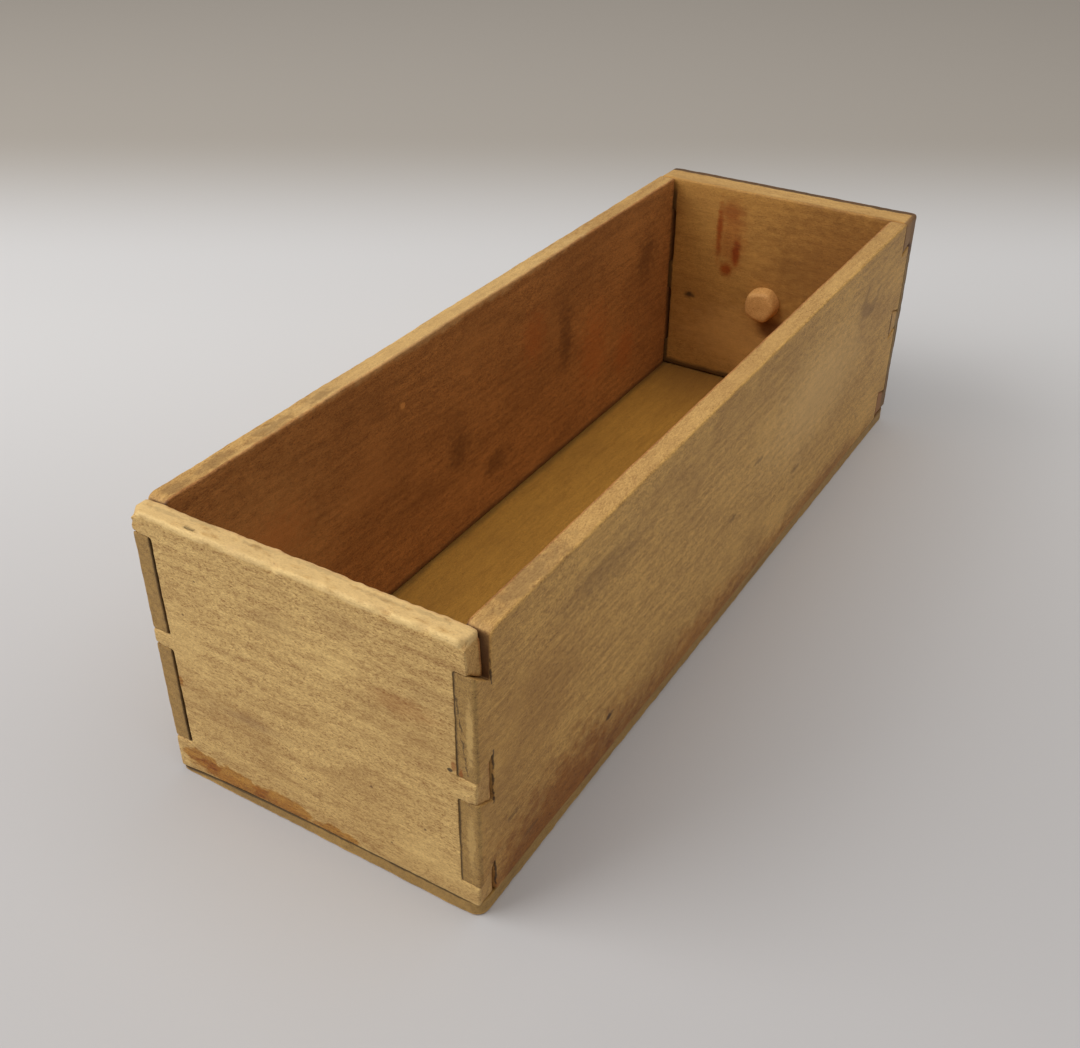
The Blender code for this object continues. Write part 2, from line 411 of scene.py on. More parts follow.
def build_side(name, sign, back, front, seed):
    """A side board. Its outline runs along Y, and its depth from the outer face inwards."""
    end_back, end_front = Y_BACK + 0.2, Y_FRONT - LAP

    def corners_at(share):
        shoulder_back = Y_BACK_IN + 0.5 - 0.45 * share
        shoulder_front = Y_FRONT_IN - 0.15 - (front.socket - 0.15) * share
        back_end = tails_upwards(back, end_back, shoulder_back, 0.2)[::-1]
        front_end = tails_upwards(front, end_front, shoulder_front, 0.2)
        return corners(
            [(shoulder_back, FOOT - 0.15), (shoulder_front, FOOT - 0.15)],
            front_end,
            [(shoulder_front, TOP), (shoulder_back + 2.0, TOP), (shoulder_back + 0.4, TOP - 0.9)],
            back_end,
        )

    board = Board(name, corners_at, SIDE, lambda u, v, w: (sign * (HALF - w), u, v),
                  spacing=0.75, fine=1.4, coarse=4.0, jitter=0.12, seed=seed)
    board.corner_rounds = 1

    def radius(u, v, outer):
        if u < Y_BACK_IN - 0.3:
            return 0.15 + (0.85 if outer else 0.2) * clamp((Y_BACK + 1.8 - u) / 1.2)
        if v > TOP - 1.5:
            return 0.55 + 0.15 * rough((u, 0, 0), 12.0, seed)
        return 0.4

    board.edge_radius = radius

    def shape(points):
        tail = np.clip((Y_BACK_IN - points[:, 1]) / 1.5, 0, 1)
        points[:, 0] += sign * back.socket * tail * (HALF - abs(points[:, 0])) / SIDE
        return weathered(points, seed)

    return board.build(shape)


def closed_sockets(points, end):
    """A board's pins at a depth where its sockets haven't begun: the walls lie flat on the board's end."""
    for first in (0, 4):
        low, high = points[first][1], points[first + 3][1]
        quarter = (high - low) / 4
        points[first + 1], points[first + 2] = (end, low + quarter), (end, high - quarter)
    return points


def build_front():
    lap_share = LAP / FRONT
    end = HALF - 0.1

    def pins(joint, share):
        into = clamp((share - lap_share) / (1 - lap_share))
        points = pins_upwards(joint, into, end, HALF - SIDE - joint.socket, 0.1)
        return closed_sockets(points, end) if share < lap_share else points

    def corners_at(share):
        return corners(
            [(-end, FOOT + 0.2), (end, FOOT + 0.2)], pins(FRONT_RIGHT, share),
            [(end, TOP), (-end, TOP)], mirrored(pins(FRONT_LEFT, share)),
        )

    board = Board("front_board_worn", corners_at, FRONT, lambda u, v, w: (u, Y_FRONT - w, v),
                  spacing=1.1, fine=1.5, coarse=3.2, jitter=0.12, seed=51)
    board.levels = [1.5, 3.0, LAP - 0.06, LAP + 0.06, LAP + 1.5, LAP + 3.2, LAP + 5.0, LAP + 6.6]
    board.edge_radius = lambda u, v, outer: 0.7 + 0.2 * rough((u, v, 0), 8.0, 5.0)
    return board.build(lambda points: weathered(points, 5.0, 0.12))


def build_bottom():
    def corners_at(share):
        return corners(
            [(-HALF + 1.3, Y_BACK + 0.15), (HALF - 3.4, Y_BACK + 0.3), (HALF - 1.2, Y_BACK + 1.3)],
            [(HALF - 0.5, Y_BACK + 4.0), (HALF - 0.9, Y_BACK + 60), (HALF - 0.6, Y_FRONT - 90)],
            [(HALF - 0.4, Y_FRONT - 0.3), (-HALF + 0.4, Y_FRONT - 0.3), (-HALF + 0.1, Y_BACK + 1.3)],
        )

    thickness = BOTTOM_HIGH[2] - BOTTOM_LOW[2]
    board = Board("bottom_board_worn", corners_at, thickness, lambda u, v, w: (u, v, w),
                  spacing=1.1, fine=1.6, coarse=4.5, jitter=0.16, seed=61)
    board.corner_rounds = 3
    board.edge_radius = lambda u, v, outer: (0.8 if outer else 0.35) + 0.2 * rough((u, v, 0), 7.0, 6.0)

    def shape(points):
        for i, (x, y, z) in enumerate(points):
            under_back = clamp((Y_BACK_IN + 1.5 - y) / 1.5)
            points[i][2] -= z / thickness * under_back * (thickness + 0.15 - lip(x))
            inside_walls = abs(x) < HALF - SIDE - 1 and Y_BACK_IN + 1 < y < Y_FRONT_IN
            if z > thickness / 2 and inside_walls:
                rise = 0.7 * clamp((y - Y_FRONT_IN + 60) / 60)
                points[i][2] += rise + 0.12 * rough((x, y, 0), 22.0, 9.0)
            elif z < 0.2:
                points[i][2] += 0.12 + 0.1 * rough((x, y, 0), 30.0, 9.0)
        return points

    return board.build(shape)


# ---- knob and brads


def lathe(profile, steps, waver):
    """Points and faces turned about Z. waver(angle, height) scales each radius."""
    points, faces, rings = [], [], []
    for radius, height in profile:
        if radius == 0:
            rings.append([len(points)])
            points.append((0, 0, height))
            continue
        rings.append(list(range(len(points), len(points) + steps)))
        for k in range(steps):
            angle = 2 * math.pi * k / steps
            r = radius * waver(angle, height)
            points.append((r * math.cos(angle), r * math.sin(angle), height))
    for low, high in zip(rings, rings[1:]):
        for k in range(steps):
            m = (k + 1) % steps
            ring = [low[k % len(low)], low[m % len(low)], high[m % len(high)], high[k % len(high)]]
            faces.append(list(dict.fromkeys(ring)))
    return np.array(points, float), faces


def build_knob():
    """The knob with its whittled tenon end. Its own axis is turned onto Y, from the tip to the outer end."""
    tip, outer = KNOB_LOW[1], KNOB_HIGH[1]
    centre_x = (KNOB_LOW[0] + KNOB_HIGH[0]) / 2
    centre_z = (KNOB_LOW[2] + KNOB_HIGH[2]) / 2
    bulb = (KNOB_HIGH[0] - KNOB_LOW[0]) / 2
    tenon, neck, collar, bead = bulb * 0.552, bulb * 0.5, bulb * 0.74, bulb * 0.78
    profile = [(0, tip + 0.25), (tenon * 0.35, tip + 0.12), (tenon * 0.7, tip + 0.1)]
    profile += [(tenon * 0.86, tip + 0.3), (tenon * 0.95, tip + 0.9), (tenon * 0.99, tip + 2.0)]
    profile += [(tenon, tip + 4.0), (tenon, Y_FRONT - 2), (tenon, Y_FRONT + 0.1)]
    profile += [(collar, Y_FRONT + 0.1), (bead, Y_FRONT + 0.5), (bead, Y_FRONT + 1.2)]
    profile.append((collar, Y_FRONT + 1.6))
    for k in range(1, 9):
        hollow = collar + (neck - collar) * math.sin(k / 8 * math.pi / 2)
        profile.append((hollow, Y_FRONT + 1.6 + 2.9 * k / 8))
    start = math.acos(neck / bulb)
    first = Y_FRONT + 7.2
    half_length = (outer - first) / 2
    profile.append((neck, first - 1.4))
    for k in range(22):
        angle = -start + (start + math.pi / 2) * k / 22
        depth = math.sin(angle) / math.sin(start) if angle < 0 else math.sin(angle)
        profile.append((bulb * math.cos(angle), first + half_length * (1 + depth)))
    profile.append((0, outer))

    def waver(angle, height):
        if height > Y_FRONT - 3:
            return 1 + 0.004 * rough((math.cos(angle), math.sin(angle), height / 6), 1.0, 2.0)
        half_facet = math.pi / 4.6
        within = (angle + 0.3) % (2 * half_facet) - half_facet
        flat = math.cos(half_facet) / max(0.5, math.cos(within))
        near_tip = clamp((tip + 6 - height) / 4)
        bump = rough((math.cos(angle) * 2, math.sin(angle) * 2, 0), 1.0, 7.0)
        return 1 + near_tip * (0.35 * (flat - 1) + 0.03 * bump)

    points, faces = lathe(profile, 64, waver)
    placed = np.column_stack([points[:, 0] + centre_x, points[:, 2], points[:, 1] + centre_z])
    knob = mesh_object("pull_knob_turned", placed, faces, sharp=50)
    store(knob, "edge_mm", np.full(len(placed), 5.0))
    return knob


def build_brads():
    """A small domed and hammered head on each brad's shank."""
    made = []
    for name in sorted(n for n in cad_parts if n.startswith("brad_")):
        low, high = node_box(name)
        x, y = (low[0] + high[0]) / 2, (low[1] + high[1]) / 2
        head, shank = (high[0] - low[0]) / 2, (high[0] - low[0]) / 2 * 0.54
        profile = [(0, 0.0), (head * 0.6, 0.02), (head * 0.92, 0.1), (head, 0.25), (head * 0.96, 0.5)]
        profile += [(shank, 0.8), (shank, high[2] - 1.5), (0, high[2])]

        def waver(angle, height):
            return 1 + 0.05 * rough((math.cos(angle) + x, math.sin(angle) + y, height), 0.9, 3.0)

        points, faces = lathe(profile, 20, waver)
        brad = mesh_object(name + "_hammered", points + (x, y, 0), faces, sharp=45)
        store(brad, "edge_mm", np.full(len(points), 5.0))
        made.append((brad, name))
    return made


# ---- materials


def screen(red, green, blue):
    """A linear colour from screen values of 0 to 255."""
    return tuple(((value / 255 + 0.055) / 1.055) ** 2.4 for value in (red, green, blue)) + (1.0,)


class Nodes:
    """A material's node tree under short calls. Places inside it are in millimetres of the row frame, and
    along lists the axes with the grain's own first."""

    def __init__(self, name, along=(0, 1, 2), roughness=0.7, metallic=0.0, specular=0.4):
        self.material = bpy.data.materials.new(name)
        self.material.use_nodes = True
        self.tree = self.material.node_tree
        self.tree.nodes.clear()
        settings = {"Metallic": metallic, "Specular IOR Level": specular, "Roughness": roughness}
        self.shader = self.node("ShaderNodeBsdfPrincipled", settings)
        output = self.node("ShaderNodeOutputMaterial")
        self.tree.links.new(self.shader.outputs["BSDF"], output.inputs["Surface"])
        place = self.node("ShaderNodeTexCoord").outputs["Object"]
        self.place = self.vector("SCALE", place, Scale=1 / MM)
        self.x, self.y, self.z = self.node("ShaderNodeSeparateXYZ", {0: self.place}).outputs
        parts = [(self.x, self.y, self.z)[i] for i in along]
        self.grain = self.node("ShaderNodeCombineXYZ", dict(enumerate(parts))).outputs[0]

    def node(self, kind, inputs=None, **settings):
        made = self.tree.nodes.new(kind)
        for key, value in settings.items():
            setattr(made, key, value)
        for key, value in (inputs or {}).items():
            if isinstance(value, bpy.types.NodeSocket):
                self.tree.links.new(value, made.inputs[key])
            else:
                made.inputs[key].default_value = value
        return made

    def math(self, operation, first, second=0.0):
        return self.node("ShaderNodeMath", {0: first, 1: second}, operation=operation).outputs[0]

    def plus(self, first, second):
        return self.math("ADD", first, second)

    def minus(self, first, second):
        return self.math("SUBTRACT", first, second)

    def times(self, first, second):
        return self.math("MULTIPLY", first, second)

    def vector(self, operation, first, second=None, **inputs):
        if second is not None:
            inputs = {1: second, **inputs}
        return self.node("ShaderNodeVectorMath", {0: first, **inputs}, operation=operation).outputs[0]

    def measure(self, operation, first, second=(0.0, 0.0, 0.0)):
        """A number from vectors, by LENGTH or DOT_PRODUCT."""
        inputs = {0: first, 1: second}
        return self.node("ShaderNodeVectorMath", inputs, operation=operation).outputs["Value"]

    def mix(self, amount, low, high, blend="MIX"):
        inputs = {0: amount, 6: low, 7: high}
        return self.node("ShaderNodeMix", inputs, data_type="RGBA", blend_type=blend).outputs[2]

    def fade(self, value, low, high, start=0.0, end=1.0):
        """Smooth change from start to end as value goes from low to high, and constant outside."""
        inputs = {"Value": value, "From Min": low, "From Max": high, "To Min": start, "To Max": end}
        return self.node("ShaderNodeMapRange", inputs, interpolation_type="SMOOTHSTEP").outputs[0]

    def spread(self, size, stretch, seed):
        """The grain's places, scaled for noise of that size across the grain and stretch times it along."""
        scale = (1 / (size * stretch), 1 / size, 1 / size)
        inputs = {"Vector": self.grain, "Location": (seed * 7.31, seed * 3.17, seed * 5.73), "Scale": scale}
        return self.node("ShaderNodeMapping", inputs).outputs[0]

    def noise(self, size, stretch=1.0, detail=3.0, roughness=0.5, distortion=0.0, seed=0.0):
        """Smooth noise around 0.5."""
        inputs = {"Vector": self.spread(size, stretch, seed), "Scale": 1.0, "Detail": detail}
        inputs.update({"Roughness": roughness, "Distortion": distortion})
        return self.node("ShaderNodeTexNoise", inputs).outputs[0]

    def swing(self, amount, **noise_inputs):
        """Noise from about -amount to amount."""
        return self.times(self.minus(self.noise(**noise_inputs), 0.5), 2.0 * amount)

    def flecks(self, size, stretch, share, seed):
        """Short spindles along the grain: 1 in their middle. share is how much of each cell they fill."""
        inputs = {"Vector": self.spread(size, stretch, seed), "Scale": 1.0, "Randomness": 1.0}
        cells = self.node("ShaderNodeTexVoronoi", inputs)
        return self.fade(cells.outputs["Distance"], share, share * 0.35)

    def patch(self, centre, size, soft=0.5, ragged=0.35, seed=0.0):
        """1 inside a ragged ellipsoid of half-sizes size round centre, fading to 0 at its rim."""
        offset = self.vector("DIVIDE", self.vector("SUBTRACT", self.place, centre), size)
        reach = self.measure("LENGTH", offset)
        uneven = self.swing(ragged, size=max(1.0, min(size) * 0.8), stretch=1.6, seed=seed)
        return self.fade(self.plus(reach, uneven), 1.0, 1.0 - soft)

    def crack(self, start, end, width, bend=0.6, seed=0.0):
        """1 on a crooked line from start to end, fading to 0 at width from it. It strays by about bend."""
        start, along = np.array(start, float), np.array(end, float) - np.array(start, float)
        inputs = {"Vector": self.spread(3.0, 1.0, seed), "Scale": 1.0, "Detail": 2.0}
        stray = self.node("ShaderNodeTexNoise", inputs).outputs["Color"]
        stray = self.vector("SCALE", self.vector("SUBTRACT", stray, (0.5, 0.5, 0.5)), Scale=2.0 * bend)
        offset = self.vector("SUBTRACT", self.vector("ADD", self.place, stray), tuple(start))
        share = self.measure("DOT_PRODUCT", offset, tuple(along / (along @ along)))
        share = self.node("ShaderNodeClamp", {"Value": share}).outputs[0]
        nearest = self.vector("SCALE", tuple(along), Scale=share)
        reach = self.measure("LENGTH", self.vector("SUBTRACT", offset, nearest))
        crooked = self.swing(width * 0.9, size=1.6, roughness=0.6, seed=seed)
        return self.fade(self.plus(reach, crooked), width, width * 0.4)

    def finish(self, colour, height, relief, strength=0.5):
        """Joins the colour and a bump of relief millimetres to the shader."""
        self.tree.links.new(colour, self.shader.inputs["Base Color"])
        inputs = {"Height": height, "Distance": relief * MM, "Strength": strength}
        self.tree.links.new(self.node("ShaderNodeBump", inputs).outputs[0], self.shader.inputs["Normal"])
        return self.material


STRAW = (screen(246, 210, 136), screen(144, 98, 46))
TAN = (screen(224, 180, 108), screen(152, 108, 56))
UMBER = (screen(210, 146, 78), screen(124, 76, 36))
OCHRE = (screen(206, 154, 62), screen(138, 94, 34))
GREY_BROWN = (screen(236, 188, 106), screen(146, 104, 52))
CHESTNUT = (screen(216, 164, 84), screen(148, 102, 46))
END_GRAIN = (screen(190, 152, 86), screen(116, 86, 46))
FINGERED = (screen(96, 56, 30), screen(52, 28, 14))
WHITTLED = (screen(238, 184, 112), screen(182, 126, 64))
RUST = screen(150, 84, 26)
AMBER = screen(222, 194, 138)
GRIME_AND_SHADE = screen(38, 26, 16)


class Wood(Nodes):
    """Solid aged wood. depth() gives the distance in from the board's outer face, heart is the centre of its
    growth rings, and outer, inner and edge are each a pale and a deep colour."""

    def __init__(self, name, along, thickness, depth, outer, inner, edge, seed, heart, weight=1.0):
        super().__init__(name, along, roughness=0.6, specular=0.35)
        self.seed = seed
        self.depth = depth(self)
        wobble = self.swing(0.35, size=3.0, stretch=2.0, seed=seed + 1)
        level = self.plus(self.depth, wobble)
        self.is_outer = self.fade(level, 1.1, 0.3)
        self.is_inner = self.fade(level, thickness - 1.1, thickness - 0.3)
        pale = self.mix(self.is_inner, self.mix(self.is_outer, edge[0], outer[0]), inner[0])
        deep = self.mix(self.is_inner, self.mix(self.is_outer, edge[1], outer[1]), inner[1])
        self.figure = self.draw_figure(heart, weight)
        self.colour = self.mix(self.figure, pale, deep)
        # Changes of tone: colour, strength, limits, and the noise that they follow
        tones = (
            (deep, 0.3, (0.42, 0.68), (34.0, 1.7, 3.0, 0.5, 0.0, seed + 2)),
            (deep, 0.26, (0.5, 0.7), (2.4, 9.0, 3.0, 0.6, 1.2, seed + 12)),
            (pale, 0.3, (0.54, 0.72), (1.6, 11.0, 3.0, 0.6, 1.0, seed + 13)),
            (deep, 0.3, (0.5, 0.72), (13.0, 2.2, 4.0, 0.6, 0.6, seed + 3)),
            (pale, 0.3, (0.52, 0.75), (22.0, 1.3, 3.0, 0.5, 0.0, seed + 4)),
        )
        for tone, strength, limits, grain in tones:
            self.tint(self.fade(self.noise(*grain), *limits), tone, strength)

    def draw_figure(self, heart, weight):
        """Growth rings round a line beside the board, fine fibres and short dark rays."""
        parts = self.node("ShaderNodeSeparateXYZ", {0: self.grain}).outputs
        bend = self.swing(7.0, size=40.0, stretch=3.5, detail=2.0, seed=self.seed + 5)
        across = self.minus(self.plus(parts[1], bend), heart[0])
        up = self.minus(self.plus(parts[2], bend), heart[1])
        squares = self.plus(self.times(across, across), self.times(up, up))
        radius = self.math("SQRT", squares)
        turns = self.times(radius, 2 * math.pi / 3.4)
        rings = self.times(self.plus(self.math("SINE", turns), 1.0), 0.5)
        self.fibres = self.noise(0.3, 3.4, 4.0, 0.75, 0.5, self.seed + 6)
        threads = self.noise(1.2, 3.0, 4.0, 0.7, 0.8, self.seed + 7)
        self.rays = self.flecks(0.5, 2.1, 0.36, self.seed + 8)
        dots = self.flecks(1.3, 1.7, 0.22, self.seed + 9)
        grains = self.noise(0.42, 1.6, 5.0, 0.8, 0.0, self.seed + 11)
        layers = (
            (self.fade(self.fibres, 0.36, 0.66), 0.4),
            (self.fade(threads, 0.38, 0.66), 0.26),
            (rings, 0.12),
            (self.rays, 0.34),
            (dots, 0.3),
            (self.fade(grains, 0.4, 0.66), 0.3),
        )
        total = 0.0
        for layer, share in layers:
            total = self.plus(self.times(layer, share * weight), total)
        return total

    def tint(self, mask, colour, strength, blend="MIX"):
        self.colour = self.mix(self.times(mask, strength), self.colour, colour, blend)

    def tint_patch(self, colour, strength, *patch, **edge):
        """Colour laid over the wood in a patch: its centre, half-sizes, softness, raggedness and seed."""
        self.tint(self.patch(*patch, **edge), colour, strength)

    def darken_patch(self, colour, strength, *patch, **edge):
        """Darkens the wood in a patch and leaves its grain to show, for stains and for painted shade."""
        self.tint(self.patch(*patch, **edge), colour, strength, "MULTIPLY")

    def worn_and_highlit_top(self, colour, strength):
        """Paler along the face's top edge, unevenly: rubbed wear, and a painted highlight where the rounded
        edge catches the light.
        """
        near = self.node("ShaderNodeAttribute", attribute_name="edge_mm").outputs["Fac"]
        level = self.plus(near, self.swing(1.3, size=1.8, stretch=2.5, seed=self.seed + 10))
        mask = self.times(self.fade(level, 0.9, 0.0), self.fade(self.z, TOP - 2.5, TOP - 1.5))
        self.tint(mask, colour, strength)

    def done(self):
        height = self.minus(self.fibres, self.times(self.rays, 0.5))
        return self.finish(self.colour, height, relief=0.14, strength=0.55)


def darken_sockets(wood):
    """Dirt and painted shade in the gap round each tail, on the recessed socket walls of an end board."""
    side, floor = wood.math("ABSOLUTE", wood.x), HALF - SIDE
    wall = wood.times(wood.fade(side, floor + 2.6, floor + 1.4), wood.fade(side, floor - 1.6, floor - 0.8))
    deep = wood.times(wood.fade(wood.depth, 0.25, 0.9), wood.fade(wood.z, TOP - 6.0, TOP - 6.5))
    # Painted shade, with some dirt, on the recessed socket walls.
    wood.tint(wood.times(wall, deep), GRIME_AND_SHADE, 0.9)


def tails_end(wood, joint):
    """Dull end grain on the tails, and dirt with painted shade behind them and on the shadowed shoulders."""
    level = wood.plus(wood.y, wood.swing(0.3, size=1.5, seed=joint.top))
    wood.tint(wood.fade(level, Y_BACK + 1.4, Y_BACK + 0.5), wood.mix(wood.figure, *END_GRAIN), 0.9)
    # Painted shade with dirt in the corner behind each tail.
    behind = wood.times(wood.fade(wood.y, Y_BACK_IN - 0.2, Y_BACK_IN - 1.0), wood.fade(wood.depth, 5.0, 5.8))
    wood.tint(behind, GRIME_AND_SHADE, 0.8)
    # Painted shade with dirt on the side's shoulder beside the top pin, which stands in shadow.
    shoulder = wood.fade(wood.y, Y_BACK_IN + 1.2, Y_BACK_IN + 0.6)
    shoulder = wood.times(shoulder, wood.fade(wood.depth, 0.1, 0.9))
    seat = joint.top - joint.flares[3]
    high = wood.fade(wood.z, seat - 0.5, seat + 0.5)
    high = wood.times(high, wood.fade(wood.y, Y_BACK_IN - 0.9, Y_BACK_IN - 0.2))
    wood.tint(wood.times(shoulder, high), screen(78, 44, 24), 0.85)


def seam_height(wood):
    """Height above the seam between the back board and the bottom, as lip() draws it."""
    fall = wood.math("EXPONENT", wood.math("DIVIDE", wood.plus(wood.x, HALF), -LIP_REACH))
    seam = wood.minus(LIP_HIGH, wood.times(fall, LIP_DROP))
    return wood.plus(wood.minus(wood.z, seam), wood.swing(0.3, size=2.0, seed=3.9))


def darken_seam(wood, low, high):
    """A dirty line where the back board stands on the bottom."""
    near = wood.fade(wood.y, Y_BACK + 2.4, Y_BACK + 1.2)
    wood.tint(wood.times(wood.fade(seam_height(wood), low, high), near), GRIME_AND_SHADE, 0.75)


def back_wood():
    wood = Wood("back_wood", (0, 1, 2), BACK, lambda n: n.minus(n.y, Y_BACK),
                STRAW, UMBER, TAN, seed=1.0, heart=(-30.0, -40.0))
    # Rubbed wear and a painted highlight along the top edge.
    wood.worn_and_highlit_top(screen(246, 214, 150), 0.5)
    return wood


def add_back_marks(wood):
    """Brown wet stains above the foot, a small knot hole, greyer patches on the top edge and dark specks."""
    near = Y_BACK
    wet = ((-30, 7.0, 14, 4.2), (-12, 7.5, 12, 4.0), (-42, 9.0, 8, 3.2), (6, 6.5, 9, 2.6))
    for x, z, width, height in wet:
        wood.darken_patch(AMBER, 1.0, (x, near, z - 1.0), (width, 3.0, height), 0.25, 0.6, x)
        wood.darken_patch(AMBER, 0.5, (x, near, z - 3.0), (width * 0.8, 3.0, height), 0.5, 0.8, x + 0.6)
    wood.darken_patch(AMBER, 1.0, (-44.0, near, 35.5), (1.6, 3.0, 2.2), soft=0.5, seed=3.0)
    wood.tint_patch(RUST, 0.35, (30.0, near, 62.0), (14.0, 3.0, 5.0), soft=0.8, seed=4.0)
    wood.tint_patch(GRIME_AND_SHADE, 0.85, (43.3, near, 48.6), (0.9, 3.0, 0.7), soft=0.4, seed=5.0)
    wood.tint_patch(RUST, 0.7, (44.4, near, 50.4), (1.0, 2.0, 2.0), soft=0.6, seed=6.0)
    grey = screen(132, 110, 76)
    greyed = ((-41, 3.6, 9), (-30, 4.8, 7), (-12, 4.2, 8), (6, 4.9, 12), (24, 3.8, 9), (37, 4.4, 9))
    for x, y, width in greyed:
        wood.tint_patch(grey, 0.3, (x, near + y, TOP), (width, 0.9, 2.0), 0.7, 0.9, x + 0.5)
    for x, z in ((-8.0, 70.0), (14.0, 79.0), (38.0, 68.0)):
        wood.tint_patch(screen(150, 112, 66), 0.26, (x, near, z), (13.0, 3.0, 6.0), 0.9, 0.6, x + 0.2)
    wood.tint_patch(screen(146, 114, 80), 0.26, (-20.0, near, 32.0), (19.0, 3.0, 3.0), 0.9, 0.5, 7.0)
    for x, z in ((-38.0, 60.0), (-31.5, 73.0), (-3.0, 21.0), (19.0, 30.0), (24.0, 13.0), (35.0, 24.0)):
        wood.tint_patch(screen(84, 48, 22), 0.7, (x, near, z), (0.55, 2.0, 0.45), soft=0.5, seed=x)


def side_wood(name, sign, seed):
    return Wood(name, (1, 0, 2), SIDE, lambda n: n.minus(HALF, n.times(n.x, sign)),
                GREY_BROWN, UMBER, TAN, seed=seed, heart=(sign * 20.0, -30.0 if sign > 0 else 110.0))


def add_right_marks(wood):
    """Dirtier towards the foot and the near end, a dark scar, a paler middle and a small swirl of grain."""
    face = HALF
    dirty = ((-122, 4, 62, 30, 1.0), (-40, 5, 84, 16, 0.8), (60, 5, 80, 11, 0.7))
    for y, z, length, height, strength in dirty:
        wood.darken_patch(screen(196, 162, 118), strength, (face, y, z), (3.0, length, height), 0.75, 0.45, y + 0.3)
    wood.darken_patch(screen(196, 170, 140), 0.3, (face, -132.0, 52.0), (3.0, 30.0, 34.0), 0.9, 0.6, 2.3)
    wood.tint_patch(screen(104, 70, 38), 0.35, (face, -100.0, 72.0), (3.0, 34.0, 9.0), 0.9, 0.8, 2.8)
    wood.tint_patch(screen(60, 30, 14), 0.85, (face, -97.4, 18.9), (2.0, 2.6, 1.3), 0.6, 0.8, 3.3)
    for y, z in ((-146.0, 25.0), (-138.0, 12.5), (-20.0, 40.0), (-2.0, 52.0), (34.0, 30.0)):
        wood.tint_patch(screen(84, 52, 26), 0.5, (face, y, z), (2.0, 5.0, 1.2), 0.7, 0.9, y)
    wood.tint_patch(screen(246, 204, 134), 0.42, (face, 48.0, 54.0), (3.0, 66.0, 30.0), 0.9, 0.5, 4.3)
    eye = wood.patch((face, 96.0, 72.0), (2.0, 7.0, 5.0), 0.4, 0.5, 5.3)
    ring = wood.patch((face, 94.0, 70.0), (2.5, 12.0, 9.0), 0.4, 0.5, 6.3)
    wood.tint(wood.minus(ring, eye), screen(112, 78, 42), 0.4)
    wood.tint_patch(screen(118, 88, 50), 0.5, (face - 3.0, -132.0, TOP), (5.0, 24.0, 2.0), 0.8, 0.8, 7.3)


def add_joint_marks(wood):
    """The dark lines of the right near joint: a split tail, and shoulders that never quite closed."""
    end, face = Y_BACK + 0.2, HALF - 0.2
    split = wood.crack((45.9, end, 71.0), (48.0, end, 49.0), 0.34, bend=1.1, seed=1.0)
    wood.tint(split, GRIME_AND_SHADE, 0.6)
    wood.tint_patch(screen(226, 188, 118), 0.45, (49.0, end, 62.0), (1.3, 2.0, 13.0), 0.6, 0.6, 1.5)
    wood.tint_patch(screen(226, 188, 118), 0.35, (48.4, end, 27.0), (1.6, 2.0, 12.0), 0.6, 0.7, 1.8)
    wood.tint_patch(RUST, 0.8, (46.2, end, 48.6), (0.7, 2.0, 2.0), 0.5, 0.6, 1.9)
    for low, high in ((36.5, 53.0), (8.0, 17.5), (73.5, 86.0)):
        gap = wood.crack((face, Y_BACK_IN + 0.4, low), (face, Y_BACK_IN + 0.4, high), 0.45, seed=low)
        wood.tint(gap, GRIME_AND_SHADE, 0.8)


def add_inner_grime_and_shade(wood):
    """Dark lines in the corners of the drawer: dirt and painted shade along the foot and beside each end
    board.
    """
    low = wood.plus(wood.z, wood.swing(1.2, size=5.0, stretch=2.0, seed=8.5))
    # Painted shade with dirt low on the inner face, and in the inner corners below.
    wood.tint(wood.times(wood.fade(low, FOOT + 3.2, FOOT + 0.6), wood.is_inner), GRIME_AND_SHADE, 0.5)
    for end in (Y_BACK_IN, Y_FRONT_IN):
        away = wood.math("ABSOLUTE", wood.minus(wood.y, end))
        level = wood.plus(away, wood.swing(0.8, size=5.0, seed=9.5))
        wood.tint(wood.times(wood.fade(level, 2.6, 0.4), wood.is_inner), GRIME_AND_SHADE, 0.6)


def add_left_marks(wood):
    """Dark, reddish and pale patches on the inner face, with painted light over its near end, and a paler
    top edge, dirty at its near end.
    """
    face = LEFT_HIGH[0]
    darker = ((-30, 40, 9, 12, 1), (-8, 24, 12, 7, 2), (40, 52, 7, 22, 3), (104, 62, 12, 14, 4))
    redder = ((62, 40, 16, 26, 5), (18, 62, 12, 16, 6), (88, 28, 12, 14, 7), (-120, 56, 22, 14, 8))
    for y, z, length, height, seed in darker:
        wood.tint_patch(screen(92, 54, 26), 0.5, (face, y, z), (2.0, length, height), 0.9, 0.8, seed + 0.2)
    for y, z, length, height, seed in redder:
        wood.tint_patch(screen(190, 104, 44), 0.4, (face, y, z), (2.0, length, height), 0.9, 0.7, seed + 0.2)
    wood.tint_patch(screen(226, 160, 84), 0.85, (face, -58.7, 70.2), (2.0, 1.7, 1.4), 0.5, 0.5, 4.0)
    # Painted light over the near end of the inner face.
    wood.tint_patch(screen(238, 176, 100), 0.34, (face, -128.0, 52.0), (2.0, 52.0, 44.0), 0.9, 0.4, 9.6)
    wood.tint_patch(screen(250, 214, 146), 0.25, (-HALF + 4.0, -30.0, TOP), (6.0, 110.0, 3.0), 0.5, 0.5, 9.2)
    for y, length in ((-148, 7), (-134, 9), (-112, 12), (-92, 8)):
        wood.tint_patch(screen(120, 88, 50), 0.5, (-HALF + 3.6, y, TOP), (2.6, length, 2.0), 0.7, 0.9, y)


